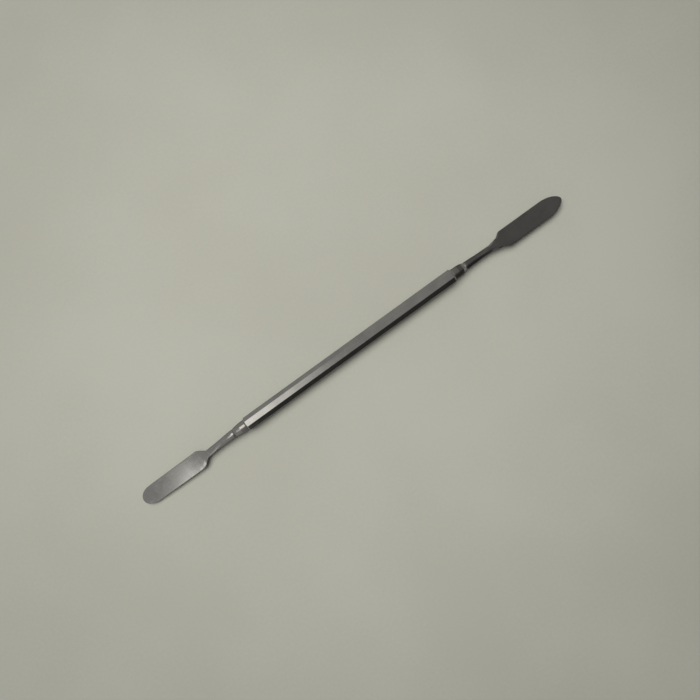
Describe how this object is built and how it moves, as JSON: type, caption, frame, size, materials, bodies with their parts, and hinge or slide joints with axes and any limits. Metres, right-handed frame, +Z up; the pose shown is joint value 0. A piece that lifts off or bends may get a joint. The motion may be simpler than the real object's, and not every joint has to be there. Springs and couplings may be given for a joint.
{
  "type": "sculpting spatula",
  "caption": "Slim steel modelling spatula: octagonal handle with a blunt rounded blade at one end and a leaf-shaped pointed blade at the other, for shaping wax, clay or plaster.",
  "frame": {"origin": "centre of the handle's lowest facet, the flat that the tool lies on", "axes": "+X along the tool from the rounded blade to the pointed blade, +Z up out of the handle's top facet, +Y to the left of +X"},
  "size_m": [0.1749, 0.0067, 0.0048],
  "materials": {
    "handle_steel": "satin, drawn along the bar",
    "collar_steel": "fine turned, half polished",
    "blade_steel": "ground and buffed along the blade"
  },
  "bodies": {
    "root": {"handle": "handle_steel", "rounded_end_collar": "collar_steel", "pointed_end_collar": "collar_steel", "rounded_blade": "blade_steel", "pointed_blade": "blade_steel"}
  },
  "joints": []
}
